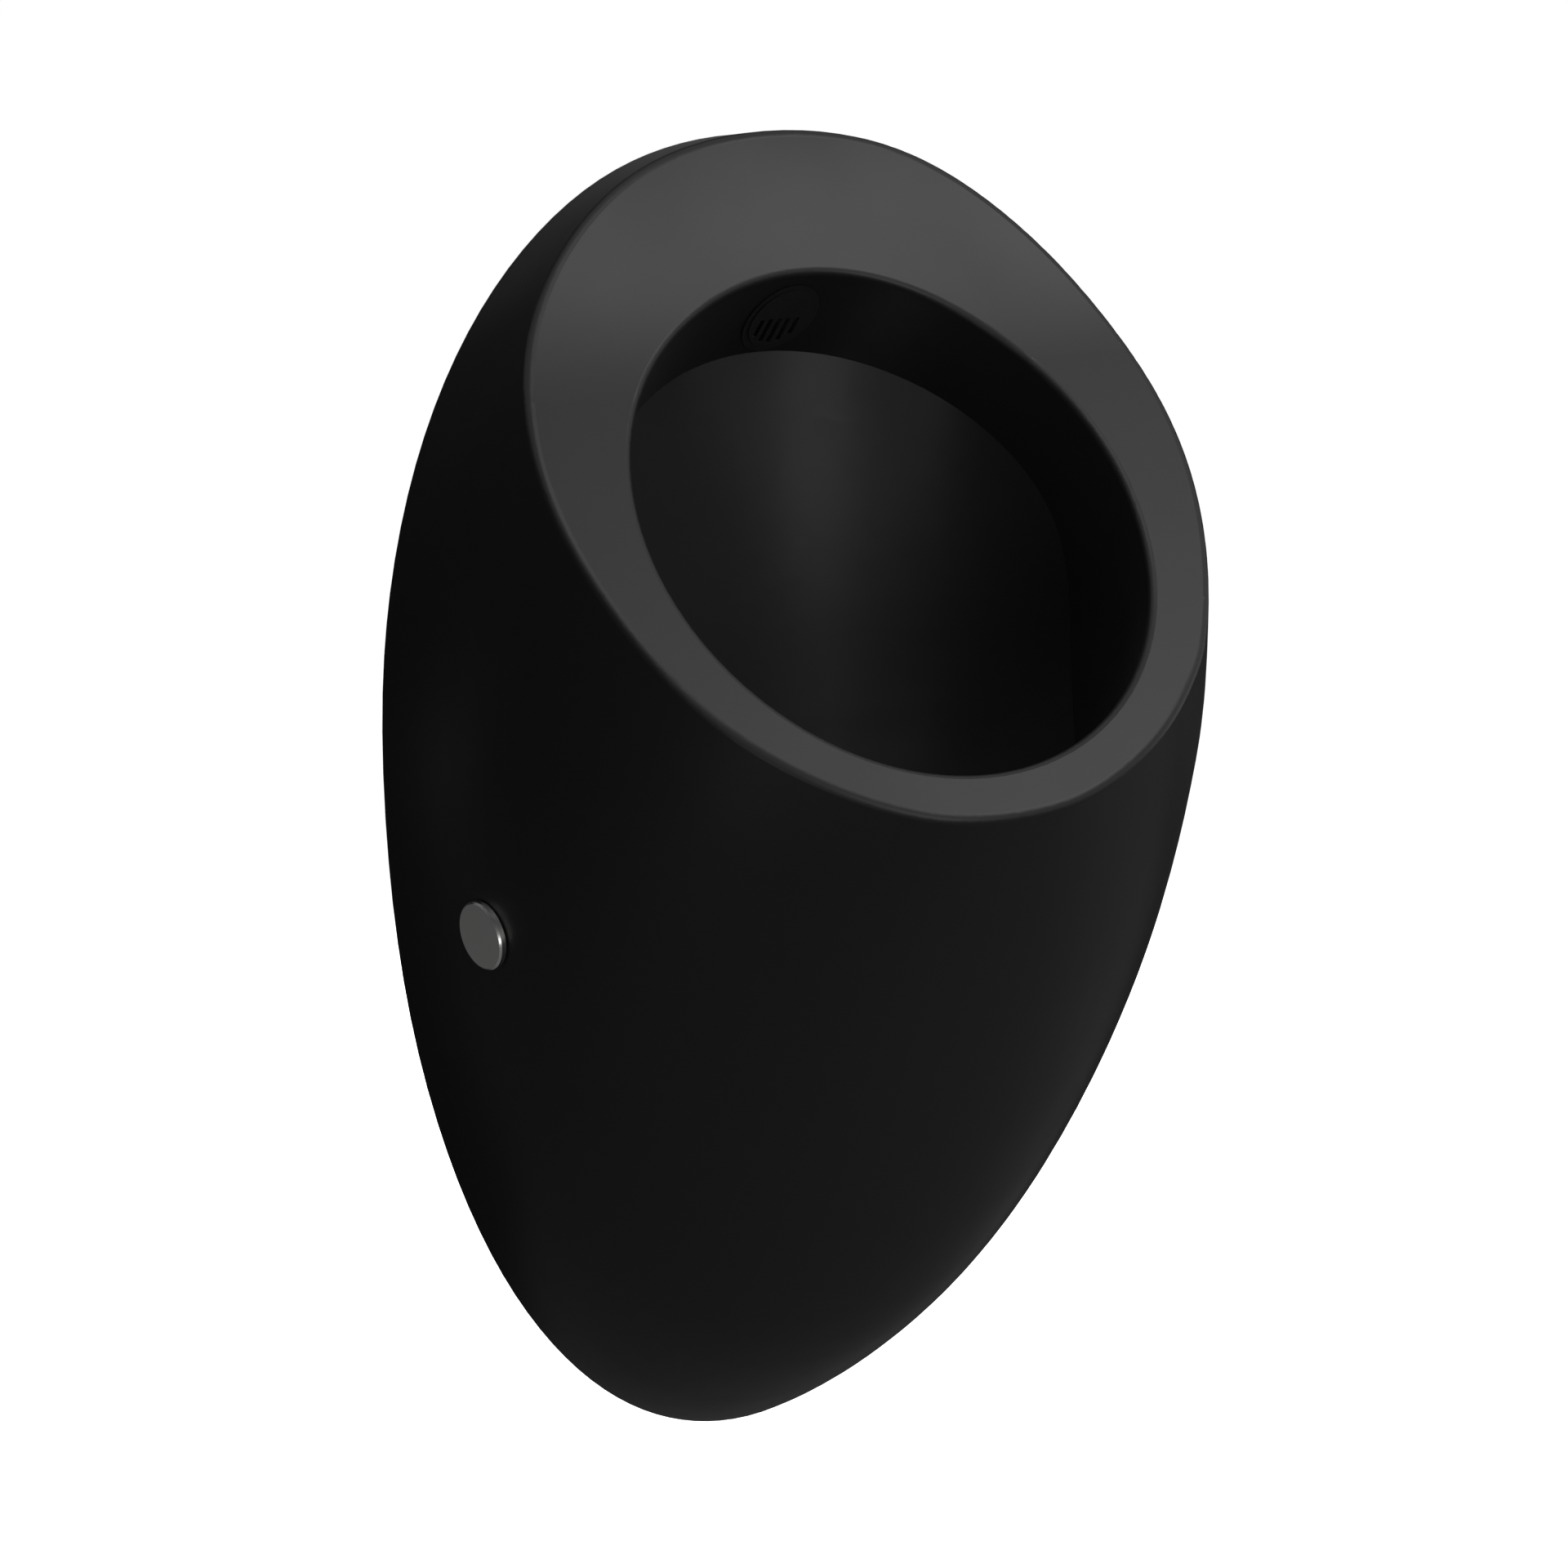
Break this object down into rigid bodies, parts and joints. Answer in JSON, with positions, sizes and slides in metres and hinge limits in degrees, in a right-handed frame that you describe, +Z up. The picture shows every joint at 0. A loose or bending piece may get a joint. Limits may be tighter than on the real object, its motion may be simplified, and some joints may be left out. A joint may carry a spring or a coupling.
{
  "type": "wall hung urinal",
  "caption": "Egg-shaped wall-hung urinal with a sloping oval mouth, a hidden bottle trap, rear water inlet and outlet, and side fixings under round metal caps.",
  "frame": {"origin": "on the finished wall, on the centre line, at the lowest point of the china's back face", "axes": "+X to the right of someone facing the urinal, +Y into the wall, +Z up"},
  "size_m": [0.34, 0.2987, 0.5974],
  "materials": {
    "glazed_china": "black glaze, fired to a soft satin gloss",
    "satin_metal": "satin plated",
    "stainless_steel": "pressed and brushed",
    "zinc_steel": "zinc plated",
    "cast_zinc": "die cast, raw",
    "plated_brass": "nickel plated",
    "sealing_rubber": "moulded",
    "black_plastic": "moulded, fine matt",
    "white_plastic": "moulded polypropylene",
    "grey_nylon": "moulded nylon"
  },
  "bodies": {
    "urinal": {"ceramic_body": "glazed_china", "waste_top_gasket": "sealing_rubber", "waste_tail": "stainless_steel", "waste_bottom_gasket": "sealing_rubber", "waste_nut": "black_plastic", "trap_body": "white_plastic", "trap_seal": "sealing_rubber", "outlet_seal": "sealing_rubber", "outlet_pipe": "white_plastic", "inlet_connector": "plated_brass", "inlet_seal": "sealing_rubber", "spreader_nozzle": "black_plastic", "spreader_seal": "sealing_rubber", "side_bushes": "white_plastic", "side_screws": "zinc_steel", "side_anchor_left": "cast_zinc", "side_anchor_right": "cast_zinc", "side_studs": "zinc_steel", "stud_washers": "zinc_steel", "stud_nuts": "zinc_steel", "stud_plugs": "grey_nylon", "hanging_hook_left": "zinc_steel", "hanging_hook_right": "zinc_steel", "hook_liners": "grey_nylon", "hook_screws": "zinc_steel", "hook_plugs": "grey_nylon"},
    "strainer": {"strainer": "stainless_steel"},
    "dip_tube": {"dip_tube": "white_plastic"},
    "side_cap_left": {"side_cap_left": "satin_metal"},
    "side_cap_right": {"side_cap_right": "satin_metal"}
  },
  "joints": [
    {"name": "strainer_lift", "type": "slide", "parent": "urinal", "child": "strainer", "axis": [0, 0, 1], "range_m": [0, 0.04]},
    {"name": "dip_tube_lift", "type": "slide", "parent": "urinal", "child": "dip_tube", "axis": [0, 0, 1], "range_m": [0, 0.019]},
    {"name": "side_cap_left_pull", "type": "slide", "parent": "urinal", "child": "side_cap_left", "axis": [-0.9737, -0.1927, -0.1217], "range_m": [0, 0.012]},
    {"name": "side_cap_right_pull", "type": "slide", "parent": "urinal", "child": "side_cap_right", "axis": [0.9737, -0.1927, -0.1217], "range_m": [0, 0.012]}
  ]
}
